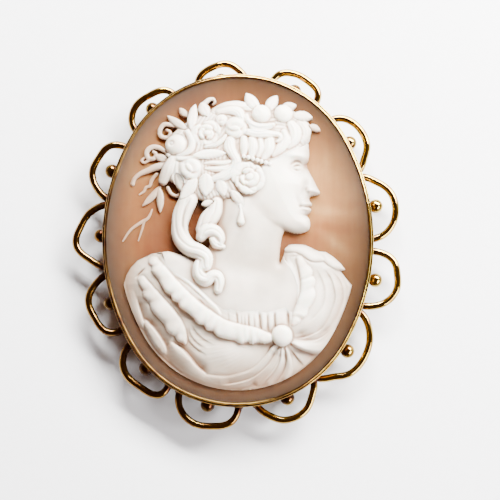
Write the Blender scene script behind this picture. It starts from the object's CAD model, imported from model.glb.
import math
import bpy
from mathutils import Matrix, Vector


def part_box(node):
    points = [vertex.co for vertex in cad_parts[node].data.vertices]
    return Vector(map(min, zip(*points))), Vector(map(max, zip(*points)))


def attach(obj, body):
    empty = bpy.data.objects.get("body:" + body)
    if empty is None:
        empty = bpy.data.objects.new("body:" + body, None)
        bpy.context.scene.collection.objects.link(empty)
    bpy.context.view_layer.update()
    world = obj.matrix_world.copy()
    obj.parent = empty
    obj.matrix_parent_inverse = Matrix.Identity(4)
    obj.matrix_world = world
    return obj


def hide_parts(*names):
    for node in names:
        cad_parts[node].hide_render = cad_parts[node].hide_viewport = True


bl_info = {
    "name": "Carved shell cameo brooch",
    "version": (1, 0, 0),
    "blender": (4, 5, 0),
    "location": "3D View > Sidebar > Cameo brooch",
    "description": "Dresses the oval cameo brooch: gold setting with wire loops, shell ground and carved bust",
    "category": "Object",
}

from collections import namedtuple

import bmesh
import bpy
import numpy as np
from mathutils import Matrix, Vector

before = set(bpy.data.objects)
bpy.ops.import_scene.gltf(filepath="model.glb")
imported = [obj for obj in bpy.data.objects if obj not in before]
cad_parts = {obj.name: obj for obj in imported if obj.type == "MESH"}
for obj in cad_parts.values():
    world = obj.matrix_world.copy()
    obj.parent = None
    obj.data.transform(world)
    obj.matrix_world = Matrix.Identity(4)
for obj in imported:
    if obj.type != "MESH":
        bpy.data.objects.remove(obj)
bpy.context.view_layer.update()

# Everything below is measured in millimetres from the oval's centre and put into metres at the end
MM = 0.001
shell_low, shell_high = (Vector(corner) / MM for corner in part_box("shell_ground"))
set_low, set_high = (Vector(corner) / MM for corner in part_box("setting"))
pin_low, pin_high = (Vector(corner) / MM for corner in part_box("brooch_pin"))
bust_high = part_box("bust_relief")[1][2] / MM
CENTRE = (shell_low + shell_high) / 2
# From the outside of the rim to the side of the shell
SHELL_IN = 0.5
HALF_W = (shell_high.x - shell_low.x) / 2 + SHELL_IN
HALF_H = (shell_high.y - shell_low.y) / 2 + SHELL_IN
BACK_Z = set_low.z
RIM_Z = set_high.z
# How far the edge of the dome and the wires of the border lie below the rim
EDGE_DROP, BORDER_DROP = 0.35, 3.2
EDGE_Z = RIM_Z - EDGE_DROP
BORDER_Z = RIM_Z - BORDER_DROP
DOME_TOP = shell_high.z

# The four-arc oval: centres and radii of its side and end arcs
BLEND = math.radians(30)
SIDE_X = (HALF_H - HALF_W) / (1 + math.tan(BLEND) - 1 / math.cos(BLEND))
END_Y = SIDE_X * math.tan(BLEND)
SIDE_R = HALF_W + SIDE_X
END_R = HALF_H - END_Y


def linear(hex_colour):
    """A hex colour as the eye reads it, turned into the light values that shaders take."""
    values = [int(hex_colour[i:i + 2], 16) / 255 for i in (1, 3, 5)]
    return tuple(v / 12.92 if v <= 0.04045 else ((v + 0.055) / 1.055) ** 2.4 for v in values)


def unit(values):
    """The values, held between nothing and one."""
    return np.clip(values, 0, 1)


# ---- oval and dome

def oval_radius(angle, inset=0.0):
    """Distance from the centre to the oval's edge in some direction."""
    way_x, way_y = np.abs(np.cos(angle)), np.abs(np.sin(angle))

    def ray(centre_x, centre_y, radius):
        along = centre_x * way_x + centre_y * way_y
        return along + np.sqrt(along ** 2 - centre_x ** 2 - centre_y ** 2 + radius ** 2)

    side = ray(-SIDE_X, 0.0, SIDE_R - inset)
    end = ray(0.0, END_Y, END_R - inset)
    on_side = np.arctan2(side * way_y, side * way_x + SIDE_X) <= BLEND
    return np.where(on_side, side, end)


def oval_distance(x, y, inset=0.0):
    """Distance outside the oval, negative inside it."""
    x, y = np.abs(x), np.abs(y)
    on_side = np.arctan2(y, x + SIDE_X) <= BLEND
    side = np.hypot(x + SIDE_X, y) - (SIDE_R - inset)
    end = np.hypot(x, y - END_Y) - (END_R - inset)
    return np.where(on_side, side, end)


def oval_point(angle, inset=0.0):
    """Place on the oval's edge, or as far inside it as inset says."""
    radius = float(oval_radius(angle, inset))
    return Vector((radius * math.cos(angle), radius * math.sin(angle)))


def dome_z(x, y):
    """Level of the polished shell at some place."""
    share = np.hypot(x, y) / oval_radius(np.arctan2(y, x), SHELL_IN)
    return EDGE_Z + (DOME_TOP - EDGE_Z) * (1 - np.minimum(share, 1.0) ** 2)


# ---- mesh helpers

def new_mesh(name, bm, smooth=True):
    """Turns a bmesh into a mesh, smooth or flat shaded."""
    mesh = bpy.data.meshes.new(name)
    bm.to_mesh(mesh)
    bm.free()
    for face in mesh.polygons:
        face.use_smooth = smooth
    return mesh


def add_piece(name, mesh, material):
    """Puts a finished mesh into the scene as a piece that rides with the brooch."""
    mesh.materials.append(material)
    piece = bpy.data.objects.new(name, mesh)
    bpy.context.scene.collection.objects.link(piece)
    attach(piece, "root")
    return piece


def finish_mesh(name, bm, material, sharp=None):
    """Turns a bmesh in millimetres into a piece in metres. Edges steeper than sharp degrees stay crisp."""
    bmesh.ops.recalc_face_normals(bm, faces=bm.faces)
    move = Matrix.Scale(MM, 4) @ Matrix.Translation((CENTRE.x, CENTRE.y, 0))
    bmesh.ops.transform(bm, matrix=move, verts=bm.verts)
    mesh = new_mesh(name, bm)
    if sharp is not None:
        mesh.set_sharp_from_angle(angle=math.radians(sharp))
    return add_piece(name, mesh, material)


def add_attribute(mesh, name, values):
    """Gives each point a value that a material can read."""
    layer = mesh.attributes.new(name, "FLOAT", "POINT")
    layer.data.foreach_set("value", np.asarray(values, np.float32))


def point_places(piece):
    """Each point of a piece in millimetres: x and y from the oval's centre, and level."""
    co = np.array([tuple(v.co) for v in piece.data.vertices]) / MM
    return co[:, 0] - CENTRE.x, co[:, 1] - CENTRE.y, co[:, 2]


def ring_edges(verts):
    """The edges between some vertices."""
    ring = set(verts)
    return list({edge for vert in verts for edge in vert.link_edges if edge.other_vert(vert) in ring})


def extruded(bm, verts):
    """New vertices, drawn out of a ring of others."""
    made = bmesh.ops.extrude_edge_only(bm, edges=ring_edges(verts))["geom"]
    return [item for item in made if isinstance(item, bmesh.types.BMVert)]


def place_ring(verts, inset, level, share=1.0):
    """Moves vertices onto the oval, drawn together towards its centre by share."""
    for vert in verts:
        angle = math.atan2(vert.co.y, vert.co.x)
        edge = oval_point(angle, inset) * share
        vert.co = (edge.x, edge.y, level)


def oval_ring(bm, sides, inset, level):
    """Ring of vertices on the oval, made as a circle and pushed out to the oval's edge."""
    made = bmesh.ops.create_circle(bm, cap_ends=False, segments=sides, radius=1.0)["verts"]
    place_ring(made, inset, level)
    return made


def next_ring(bm, verts, inset, level, share=1.0):
    """Draws a new ring out of an open one and puts it in its place."""
    new = extruded(bm, verts)
    place_ring(new, inset, level, share)
    return new


def sweep(bm, path, sections, sides=14):
    """Round wire along a path. Each section is (radius across, radius up)."""
    ring = bmesh.ops.create_circle(bm, cap_ends=True, segments=sides, radius=1.0)["verts"]
    shape = [vert.co.copy() for vert in ring]
    last = len(path) - 1
    for k, (wide, tall) in enumerate(sections):
        if k:
            # The new vertices in the old ones' order: each starts where the one it came from is
            found = {tuple(round(c, 5) for c in vert.co): vert for vert in extruded(bm, ring)}
            ring = [found[tuple(round(c, 5) for c in vert.co)] for vert in ring]
        ahead = path[min(k + 1, last)] - path[max(k - 1, 0)]
        ahead.normalize()
        across = Vector((ahead.y, -ahead.x, 0)).normalized()
        up = across.cross(ahead)
        for vert, flat in zip(ring, shape):
            vert.co = path[k] + across * flat.x * wide + up * flat.y * tall
    bmesh.ops.edgeloop_fill(bm, edges=ring_edges(ring))


def solder(bm, place, angle, size):
    """A lump of solder on the collet, run out along it."""
    lump = bmesh.ops.create_icosphere(bm, subdivisions=3, radius=1.0)["verts"]
    turn = Matrix.Rotation(angle, 4, "Z")
    move = Matrix.Translation((place.x, place.y, BORDER_Z)) @ turn @ Matrix.Diagonal((*size, 1))
    bmesh.ops.transform(bm, matrix=move, verts=lump)


def worn_block(bm, middle, size, worn, steps):
    """A box with its edges worn round."""
    block = bmesh.ops.create_cube(bm, size=1.0)["verts"]
    move = Matrix.Translation(middle) @ Matrix.Diagonal((*size, 1))
    bmesh.ops.transform(bm, matrix=move, verts=block)
    edges = list({edge for vert in block for edge in vert.link_edges})
    bmesh.ops.bevel(bm, geom=edges, offset=worn, segments=steps, profile=0.5, affect="EDGES", material=-1)


def smooth_rows(rows, steps):
    """Smooth curve through all rows of numbers, with some steps to each stretch."""
    rows = np.asarray(rows, float)
    last = len(rows) - 1
    out = []
    for i in range(last * steps + 1):
        k = min(i // steps, last - 1)
        t = i / steps - k
        a, b, c, d = rows[max(k - 1, 0)], rows[k], rows[k + 1], rows[min(k + 2, last)]
        bend, sway = 2 * a - 5 * b + 4 * c - d, 3 * b - a - 3 * c + d
        out.append(0.5 * (2 * b + (c - a) * t + bend * t ** 2 + sway * t ** 3))
    return np.array(out)


# ---- carving in relief

# The carving is a grid of heights: its cell, its reach from the middle, and a height for nothing
CELL = 0.08
SPAN_X, SPAN_Y = 19.2, 24.0
FAR = 99.0
# The lowest that a carved form is, and how far it sinks into the shell
LEAST, SUNK = 0.12, 0.02
# Half width of the fine line cut round each form
LINE_WIDE = 0.11
# The bust ends this far inside the rim
BUST_IN = 2.55
grid_x = np.arange(-SPAN_X, SPAN_X + CELL / 2, CELL)
grid_y = np.arange(-SPAN_Y, SPAN_Y + CELL / 2, CELL)
GX, GY = np.meshgrid(grid_x, grid_y)


def window(low_x, high_x, low_y, high_y):
    """The part of the carving's grid that a form touches."""
    i0, i1 = np.searchsorted(grid_x, (low_x, high_x))
    j0, j1 = np.searchsorted(grid_y, (low_y, high_y))
    return slice(max(j0 - 1, 0), j1 + 1), slice(max(i0 - 1, 0), i1 + 1)


def around(at_x, at_y, wide):
    """The part of the grid about a place, and each of its places as seen from there."""
    where = window(at_x - wide, at_x + wide, at_y - wide, at_y + wide)
    return where, GX[where], GY[where]


def blurred(field, radius):
    """The field smoothed over some millimetres."""
    fy = np.fft.fftfreq(field.shape[0], CELL)[:, None]
    fx = np.fft.rfftfreq(field.shape[1], CELL)[None, :]
    soft = np.exp(-2 * (math.pi * radius) ** 2 * (fx ** 2 + fy ** 2))
    return np.fft.irfft2(np.fft.rfft2(field) * soft, field.shape)


def polygon_distance(x, y, corners):
    """Distance outside a closed outline, negative inside it."""
    best = np.full(x.shape, FAR ** 2)
    inside = np.zeros(x.shape, bool)
    for (ax, ay), (bx, by) in zip(corners, np.roll(corners, -1, axis=0)):
        ex, ey = bx - ax, by - ay
        t = unit(((x - ax) * ex + (y - ay) * ey) / (ex * ex + ey * ey + 1e-12))
        best = np.minimum(best, (x - ax - t * ex) ** 2 + (y - ay - t * ey) ** 2)
        if ay != by:
            inside ^= ((ay > y) != (by > y)) & (x < (bx - ax) * (y - ay) / (by - ay) + ax)
    return np.where(inside, -1, 1) * np.sqrt(best)


def soft_max(a, b, blend):
    """The higher of two surfaces, with the crease between them rounded."""
    gap = unit(1 - np.abs(a - b) / blend)
    return np.maximum(a, b) + blend * gap ** 2 / 4


def turned(x, y, angle):
    """The same places along and across a direction."""
    c, s = math.cos(angle), math.sin(angle)
    return x * c + y * s, -x * s + y * c


def bell(x, y, at_x, at_y, wide, tall, turn=0.0):
    """A soft hill of height one: its half widths and its turn in degrees."""
    u, v = turned(x - at_x, y - at_y, math.radians(turn))
    return np.exp(-((u / wide) ** 2 + (v / tall) ** 2))


def add_bells(field, x, y, rows):
    """Adds soft hills, or hollows below nothing. Rows: height, x, y, half widths, turn in degrees."""
    for height, *form in rows:
        field += height * bell(x, y, *form)


def crown(top, rise, reach):
    """A rounded form: its height at some share of the way from its middle to its edge."""
    return top - rise * (1 - np.sqrt(unit(1 - reach ** 2)))


def from_edge(deep, over):
    """From 0 at an edge to 1 as far inside it as over says, steep at first."""
    return unit(1 - (1 - unit(deep / over)) ** 2)


def swelling(out, low, round_edge, over, belly):
    """Height of a broad form: its edge, the round corner there, that corner's width, and its belly."""
    deep = np.clip(-out, 0, 9)
    return low + round_edge * np.sqrt(from_edge(deep, over)) + belly * (1 - np.exp(-deep / 3.0))


# Where each place of the grid lies about a curved row of points
About = namedtuple("About", "where out side width top run length")


def to_ends(about, over):
    """From 0 at both ends of a row to 1 as far along it as over says."""
    return unit(np.minimum(about.run, about.length - about.run) / over)


class Carving:
    """One group of carved forms: distance outside them, and their height above the shell."""

    def __init__(self):
        self.out = np.full(GX.shape, FAR)
        self.high = np.full(GX.shape, -FAR)

    def stamp(self, where, out, high, cut):
        """Lays a form over what is there and cuts a fine line round it."""
        old = self.high[where]
        fresh = old < -1
        new = np.where((out < 0) & ~fresh, np.maximum(high, old), old)
        new = np.where((out < 0.2) & fresh, high, new)
        line = cut * np.exp(-(out / LINE_WIDE) ** 2)
        self.high[where] = np.where(fresh, new, new - line)
        self.out[where] = np.minimum(self.out[where], out)

    def reshape(self, where, new):
        """New heights, only where something is carved already."""
        old = self.high[where]
        self.high[where] = np.where(old > -1, new, old)

    def base(self, out, high):
        """The plain form that the others lie on."""
        self.high = np.where(out < 0.3, np.maximum(self.high, high), self.high)
        self.out = np.minimum(self.out, out)

    def polish(self, radius):
        """Rounds all edges a little, as rubbing with oil and powder does."""
        there = (self.high > -1).astype(float)
        share = np.maximum(blurred(there, radius), 0.02)
        self.high = np.where(there > 0, blurred(self.high * there, radius) / share, self.high)

    def measure(self, rows, steps=6, reach=0.5):
        """Each place about a curved row: distance, share across, half width, top and run."""
        path = smooth_rows(rows, steps)
        wide = path[:, 2].max() + reach
        low, high = path[:, :2].min(axis=0) - wide, path[:, :2].max(axis=0) + wide
        where = window(low[0], high[0], low[1], high[1])
        x, y = GX[where], GY[where]
        best = np.full(x.shape, FAR)
        side, width, top, run = (np.ones(x.shape) for _ in range(4))
        length = 0.0
        for a, b in zip(path[:-1], path[1:]):
            ex, ey = b[0] - a[0], b[1] - a[1]
            size = math.hypot(ex, ey) + 1e-9
            t = unit(((x - a[0]) * ex + (y - a[1]) * ey) / size ** 2)
            dx, dy = x - a[0] - t * ex, y - a[1] - t * ey
            w = a[2] + (b[2] - a[2]) * t
            away = np.hypot(dx, dy)
            closer = away - w < best
            best = np.where(closer, away - w, best)
            side = np.where(closer, np.sign(dx * ey - dy * ex) * away / w, side)
            width = np.where(closer, w, width)
            top = np.where(closer, a[3] + (b[3] - a[3]) * t, top)
            run = np.where(closer, length + t * size, run)
            length += size
        return About(where, best, side, width, top, run, length)

    def strand(self, rows, rise, grooves=0, depth=0.07, cut=0.11):
        """A lock, stem or petal: rounded across, with grooves along it."""
        row = self.measure(rows)
        reach = unit(np.abs(row.side))
        high = crown(row.top, rise, reach)
        if grooves:
            sway = 0.10 * np.sin(2.1 * row.run + rows[0][0])
            lines = 0.5 - 0.5 * np.cos(math.pi * (grooves + 1) * (row.side + sway + 1))
            high = high - depth * (1 - lines) * unit(1.15 - reach ** 4)
        self.stamp(row.where, row.out, high, cut)

    def ringlet(self, rows, rise=0.9, depth=0.12, cut=0.12):
        """A smooth ringlet: its strands run along it and wind slowly round it."""
        row = self.measure(rows)
        high = crown(row.top, rise, unit(1 + row.out / row.width))
        wind = 2 * math.pi * (1.15 * np.clip(row.side, -1.2, 1.2) + row.run / 6.5 + 0.3)
        groove = np.exp(-((1 + np.cos(wind)) / 0.45) ** 2)
        high = high - depth * groove + 0.022 * np.cos(4 * wind + 1)
        self.stamp(row.where, row.out, high, cut)

    def ruffle(self, rows, outer, wave, rise, cut, scallop=0.11, depth=0.07):
        """A gathered frill: soft puffs, parted by pleats that reach in from its outer edge."""
        row = self.measure(rows)
        turns = max(round(row.length / wave), 1)
        warp = row.run + 0.22 * wave * np.sin(2.3 * row.run / wave + rows[0][0])
        phase = 2 * math.pi * turns * warp / row.length
        lean = unit(0.5 + 0.5 * row.side * outer)
        swell = np.cos(phase + 1.2 * row.side * outer)
        out = row.out + scallop * row.width * (1 - swell) * lean ** 2
        high = crown(row.top, rise, unit(1 + out / row.width)) + depth * swell * (0.35 + 0.65 * lean)
        pleat = np.exp(-((1 + swell) / 0.30) ** 2)
        high = high - 1.5 * depth * pleat * lean ** 2 + 0.4 * depth * np.cos(1.7 * phase - 2 * row.side)
        self.stamp(row.where, out, high, cut)

    def lap(self, step, reach, points):
        """One layer of cloth over another: the side on the right of the row lies lower."""
        row = self.measure([(*point, reach, 0) for point in points], reach=1.2 * reach)
        away = row.side * row.width
        edge = unit(away / 0.18 + 0.5)
        drop = edge ** 2 * (3 - 2 * edge) * np.exp(-(np.maximum(away, 0) / reach) ** 2)
        self.reshape(row.where, self.high[row.where] - step * to_ends(row, 1.3) * drop)

    def fold(self, rows, lean, rise=0.34, blend=0.26, cut=0.02):
        """A fold of cloth that grows out of what is under it, steeper on one side."""
        row = self.measure(rows, reach=0.9)
        across = np.where(row.side > lean, (row.side - lean) / (1 - lean), (lean - row.side) / (1 + lean))
        ends = to_ends(row, 0.8)
        high = row.top - rise * across ** 2 - 0.35 * (1 - ends) ** 2
        old = self.high[row.where]
        mixed = np.where(np.abs(row.side) < 1.6, soft_max(old, high, blend), old)
        seam = (1.04 if lean > 0 else -1.04) - row.side
        mixed = mixed - cut * np.exp(-(seam * row.width / 0.10) ** 2) * ends
        self.reshape(row.where, mixed)

    def crease(self, points, depth, narrow):
        """A fine line cut along a row of points. A negative depth raises a ridge."""
        row = self.measure([(*point, 0.3, 0) for point in points])
        line = depth * np.exp(-(row.side * row.width / narrow) ** 2) * to_ends(row, 0.9)
        self.reshape(row.where, self.high[row.where] - line)

    def leaf(self, base_x, base_y, tip_x, tip_y, half, top, rise=0.38, bend=0.12, cut=0.12):
        """A leaf with a groove down its middle rib and faint side veins."""
        length = math.hypot(tip_x - base_x, tip_y - base_y)
        ux, uy = (tip_x - base_x) / length, (tip_y - base_y) / length
        where, x, y = around((base_x + tip_x) / 2, (base_y + tip_y) / 2, length / 2 + half + 0.4)
        x, y = x - base_x, y - base_y
        along = (x * ux + y * uy) / length
        across = -x * uy + y * ux - bend * length * along * (1 - along)
        shape = unit(along)
        edge = half * 2.2 * np.sqrt(shape + 0.02) * (1 - shape) ** 0.85 * (0.80 + 0.6 * shape)
        out = np.abs(across) - edge
        out = np.where(along < 0, np.hypot(np.abs(across), along * length) - 0.12 * half, out)
        out = np.where(along > 1, np.hypot(across, (along - 1) * length), out)
        q = unit(np.abs(across) / np.maximum(edge, 0.05))
        rib = 0.06 * np.exp(-(across / 0.16) ** 2) * unit(1.1 - shape)
        veins = 0.025 * np.cos(2 * math.pi * (shape * length / 0.55 - q * 0.7)) * q
        self.stamp(where, out, crown(top, rise, q) - 0.22 * shape ** 2 - rib - veins, cut)

    def stud(self, at_x, at_y, radius, top, rise=None, stretch=1.0, turn=0.0, navel=0.0, cut=0.14):
        """A berry, fruit or button: a rounded form, with a small navel where asked."""
        where, x, y = around(at_x, at_y, radius * max(stretch, 1) + 0.5)
        x, y = x - at_x, y - at_y
        u, v = turned(x, y, math.radians(turn))
        r = np.hypot(u / stretch, v) / radius
        high = crown(top, radius * 0.62 if rise is None else rise, r)
        if navel:
            # A dimple with a small bead left standing in it
            away = np.hypot(x + 0.42 * radius, y - 0.14 * radius) / radius
            ring, bowl = np.exp(-((away - 0.17) / 0.08) ** 2), np.exp(-(away / 0.26) ** 2)
            high = high - navel * (ring + 0.5 * bowl)
        self.stamp(where, (r - 1) * radius, high, cut)

    def petal(self, at_x, at_y, size, way, top, cup=0.26):
        """A petal, cupped up towards its outer edge, with a groove down its middle."""
        where, x, y = around(at_x, at_y, size * 1.2 + 0.4)
        u, v = turned(x - at_x, y - at_y, way)
        r = np.sqrt((u / 0.88) ** 2 + (v / 1.15) ** 2) / size
        edge = np.sqrt(unit(1 - unit(r) ** 4))
        high = top - 0.45 * (1 - edge) + cup * (u / size) - 0.04 * np.exp(-(v / 0.16) ** 2) * (u > -0.2 * size)
        self.stamp(where, (r - 1) * size, high, 0.13)

    def rose(self, at_x, at_y, radius, top, turn, petals):
        """An open rose: overlapping petals of uneven size about a folded heart."""
        # Outer and inner ring: reach and size as shares of the radius, petals, drop below the heart
        rings = ((0.56, 0.56, petals, 0.44), (0.27, 0.40, 3, 0.18))
        for ring, (reach, size, count, drop) in enumerate(rings):
            for k in range(count):
                way = math.radians(turn + 360 * (k + 0.5 * ring) / count + 17 * math.sin(3.1 * k + turn))
                grow = 1 + 0.22 * math.sin(2.3 * k + turn)
                x, y = at_x + reach * radius * math.cos(way), at_y + reach * radius * math.sin(way)
                self.petal(x, y, size * radius * grow, way, top - drop - 0.05 * (k % 2))
        self.stud(at_x + 0.06 * radius, at_y, 0.22 * radius, top - 0.02, rise=0.20, stretch=1.3, turn=turn)

    def bud(self, at_x, at_y, radius, top, turn):
        """A half-open rose: a round heart wrapped in two petals."""
        self.stud(at_x, at_y, radius, top, rise=0.52 * radius, cut=0.12)
        # Each petal's edge is an arc: the way to its middle, distance, size and the step down
        for way, off, size, step in ((turn, 0.46, 0.52, 0.26), (turn - 148, 0.42, 0.70, 0.22)):
            x = at_x + off * radius * math.cos(math.radians(way))
            y = at_y + off * radius * math.sin(math.radians(way))
            turns = np.radians(np.linspace(way + 70, way + 290, 7))
            arc = [(x + size * radius * math.cos(t), y + size * radius * math.sin(t)) for t in turns]
            self.lap(step, 0.30 * radius, arc)


# Where the outlines of bust and drapery are the same: at the left shoulder, and past the oval: x, y
SHOULDER_EDGE = [(-17.7, -8.6), (-17.45, -7.0), (-17.05, -5.7), (-16.4, -4.6), (-15.4, -3.6)]
FOOT_EDGE = [(18.0, -7.9), (19.0, -9.8), (19.0, -26.0), (-19.0, -26.0), (-19.0, -8.2)]

# Outline of the bust over the shoulders and the neck: x, y
BUST_EDGE = [
    *SHOULDER_EDGE, (-13.2, -2.6), (-10.7, -2.3), (-9.2, -2.7), (-7.3, -3.0), (-5.4, -3.0), (-4.4, -1.6),
    (-3.3, 1.4), (-2.7, 5.0), (-1.8, 7.5), (3.9, 7.5), (7.6, 3.0), (7.6, 1.5), (7.1, 0.75), (6.78, 0.0),
    (6.6, -0.9), (6.48, -1.9), (6.38, -2.9), (6.32, -3.8), (6.45, -4.2), (7.0, -3.0), (7.2, -1.9), (7.8, -1.3),
    (9.2, -1.2), (10.3, -1.3), (11.5, -1.8), (12.5, -2.3), (13.5, -2.3), (14.7, -3.1), (15.8, -4.1),
    (16.5, -5.0), (15.7, -5.2), (16.7, -6.4), *FOOT_EDGE,
]

# Outline of the drapery: x, y
DRESS_EDGE = [
    *SHOULDER_EDGE, (-13.2, -2.5), (-11.6, -2.5), (-11.0, -4.4), (-9.5, -5.7), (-7.8, -6.7), (-6.4, -7.7),
    (-5.2, -8.8), (-3.3, -10.5), (-2.2, -11.4), (-0.9, -11.35), (0.6, -11.7), (3.2, -11.5), (3.6, -11.8),
    (4.4, -11.8), (5.5, -11.5), (7.2, -11.0), (7.8, -11.6), (8.3, -11.7), (8.9, -10.4), (9.1, -9.0),
    (9.1, -7.7), (8.6, -6.2), (7.9, -4.8), (7.2, -3.7), (6.9, -2.8), (7.0, -1.9), (7.8, -1.2), (9.2, -1.0),
    (10.3, -1.2), (11.5, -1.6), (12.5, -2.1), (13.5, -2.1), (14.7, -2.9), (15.8, -3.9), (16.7, -5.0),
    (15.9, -5.2), (16.8, -6.4), *FOOT_EDGE,
]

# Outline of the dressed hair: x, y
HAIR_EDGE = [
    (-3.8, 20.1), (-1.8, 20.7), (0.3, 20.9), (2.2, 20.8), (4.9, 20.5), (8.0, 20.0), (10.0, 18.8), (11.2, 17.4),
    (11.2, 16.0), (10.9, 14.7), (9.5, 13.8), (8.0, 13.0), (6.5, 12.2), (4.6, 11.2), (3.7, 10.2), (3.7, 8.4),
    (2.6, 7.3), (1.2, 7.0), (-0.3, 5.8), (-2.4, 5.5), (-4.6, 5.2), (-6.6, 5.8), (-8.2, 6.2), (-9.2, 7.5),
    (-10.1, 8.4), (-11.0, 9.0), (-11.4, 10.6), (-11.2, 12.4), (-11.0, 14.0), (-10.3, 15.8), (-9.0, 17.1),
    (-7.3, 18.3), (-5.6, 19.2),
]

# Plain classical profile, a third each for brow, nose and mouth with chin: distance down from
# the hairline and out from the forehead, as shares of the face's height
FACE_ROWS = [
    (-0.02, -0.05), (0.05, 0.0), (0.15, 0.02), (0.27, 0.03), (0.33, 0.025), (0.37, 0.01), (0.43, 0.025),
    (0.52, 0.07), (0.6, 0.11), (0.625, 0.125), (0.65, 0.11), (0.667, 0.04), (0.7, 0.03), (0.735, 0.05),
    (0.755, 0.045), (0.765, 0.025), (0.785, 0.045), (0.81, 0.035), (0.84, 0.01), (0.88, 0.03), (0.93, 0.035),
    (0.97, 0.02), (1.0, -0.04), (1.0, -0.12), (0.95, -0.26), (0.86, -0.42), (0.74, -0.54), (0.4, -0.66),
    (0.0, -0.45),
]
# Its height, and the hairline's place on the forehead
FACE_H = 17.2
BROW_X, BROW_Y = 10.48, 17.68

# Locks of hair: rows of x, y, half width, top
LOCKS = [
    [(-3.6, 19.7, 0.58, 1.3), (-2.0, 20.3, 0.73, 1.55), (-0.1, 20.4, 0.85, 1.7), (1.9, 20.1, 0.77, 1.7)],
    [(-3.0, 19.4, 0.58, 1.6), (-1.2, 19.6, 0.77, 1.9), (0.1, 19.2, 0.89, 2.05), (0.6, 18.0, 0.69, 2.05)],
    [(1.3, 18.8, 0.42, 1.9), (1.6, 17.8, 0.54, 2.05), (2.8, 17.1, 0.62, 2.1), (4.2, 17.0, 0.58, 2.1),
     (5.4, 17.3, 0.39, 2.0)],
    [(9.8, 17.6, 0.89, 1.5), (10.3, 16.9, 0.98, 1.6), (10.3, 15.9, 0.89, 1.55), (9.8, 15.0, 0.65, 1.45)],
    [(8.2, 17.4, 0.81, 1.85), (8.8, 16.4, 1.04, 1.95), (8.6, 15.1, 1.0, 1.9), (7.6, 14.1, 0.77, 1.8)],
    [(7.1, 16.1, 0.65, 1.9), (7.3, 14.9, 0.89, 1.95), (6.6, 13.7, 0.85, 1.95), (5.4, 12.7, 0.62, 1.85)],
    [(4.8, 14.9, 0.89, 2.05), (4.6, 13.6, 1.08, 2.15), (4.0, 12.2, 0.73, 2.0)],
    [(0.9, 15.0, 0.62, 2.2), (1.0, 13.8, 0.77, 2.25), (0.9, 12.7, 0.54, 2.1)],
    [(3.4, 14.8, 0.58, 2.1), (3.4, 13.5, 0.65, 2.15), (3.1, 12.4, 0.54, 2.0)],
    [(2.2, 14.9, 0.73, 2.15), (2.3, 13.7, 0.85, 2.2), (2.1, 12.3, 0.62, 2.05)],
    [(1.2, 16.1, 0.58, 2.15), (2.6, 15.9, 0.77, 2.25), (4.2, 15.8, 0.77, 2.2), (5.4, 15.8, 0.54, 2.1),
     (6.3, 15.7, 0.5, 2.0), (6.6, 15.1, 0.42, 1.9), (6.0, 14.6, 0.31, 1.85)],
    [(-7.8, 16.2, 0.58, 1.85), (-7.1, 14.8, 0.65, 1.95), (-7.3, 13.4, 0.65, 1.95), (-8.6, 12.5, 0.54, 1.8),
     (-9.8, 12.2, 0.39, 1.65)],
    [(-9.6, 12.0, 0.39, 1.7), (-8.3, 11.9, 0.46, 1.85), (-6.6, 12.1, 0.42, 1.9)],
    [(-0.7, 11.4, 0.5, 2.0), (-2.3, 11.1, 0.54, 2.0), (-3.9, 11.2, 0.42, 1.95), (-5.1, 11.1, 0.23, 1.85)],
    [(-0.6, 10.7, 0.54, 2.05), (-2.1, 10.2, 0.62, 2.05), (-3.7, 10.2, 0.5, 1.95), (-5.0, 10.3, 0.23, 1.85)],
    [(-1.2, 14.6, 0.81, 2.25), (-1.3, 13.6, 0.96, 2.3), (-0.8, 12.6, 0.81, 2.3), (-0.2, 11.5, 0.77, 2.25),
     (-0.7, 10.1, 0.89, 2.2), (-2.0, 9.2, 0.89, 2.1), (-3.5, 8.7, 0.69, 1.95), (-4.5, 8.6, 0.35, 1.8)],
    [(-5.0, 13.7, 0.31, 2.05), (-3.5, 14.0, 0.42, 2.1), (-2.5, 14.7, 0.42, 2.15), (-1.9, 15.5, 0.27, 2.1)],
]

# Ringlets on the shoulder: rows of x, y, half width, top
RINGLETS = [
    [(-5.6, -3.9, 0.79, 2.0), (-6.0, -5.0, 0.96, 2.15), (-5.8, -6.3, 1.04, 2.2), (-4.8, -6.9, 1.0, 2.2),
     (-3.9, -6.3, 0.94, 2.15), (-3.1, -6.4, 0.92, 2.1), (-2.8, -7.3, 0.88, 2.05), (-3.0, -8.4, 0.8, 1.95)],
    [(-7.6, 5.5, 1.42, 1.9), (-8.5, 3.5, 1.42, 1.75), (-8.9, 1.6, 1.27, 1.65), (-8.7, -0.2, 1.35, 1.6),
     (-7.5, -1.8, 1.28, 1.9), (-5.9, -2.6, 1.22, 2.2), (-4.9, -3.5, 1.12, 2.3), (-4.9, -4.8, 0.92, 2.2)],
    [(-3.8, -0.7, 0.62, 1.9), (-3.3, -1.4, 0.72, 1.9), (-2.3, -1.8, 0.52, 1.75)],
    [(-3.2, 5.1, 0.89, 1.8), (-3.6, 3.6, 1.23, 1.9), (-4.5, 2.4, 1.39, 1.9), (-5.3, 0.9, 1.12, 1.8)],
    [(-5.6, -0.2, 0.8, 1.85), (-5.1, 0.5, 1.02, 2.05), (-4.0, 0.7, 1.12, 2.12), (-3.1, 0.2, 0.98, 2.05),
     (-2.6, -0.6, 0.74, 1.95), (-2.6, -1.3, 0.5, 1.8)],
]

RINGLET_PARTING = [(-7.2, 5.8), (-8.1, 3.8), (-8.5, 1.9), (-8.3, 0.5)]

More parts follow.
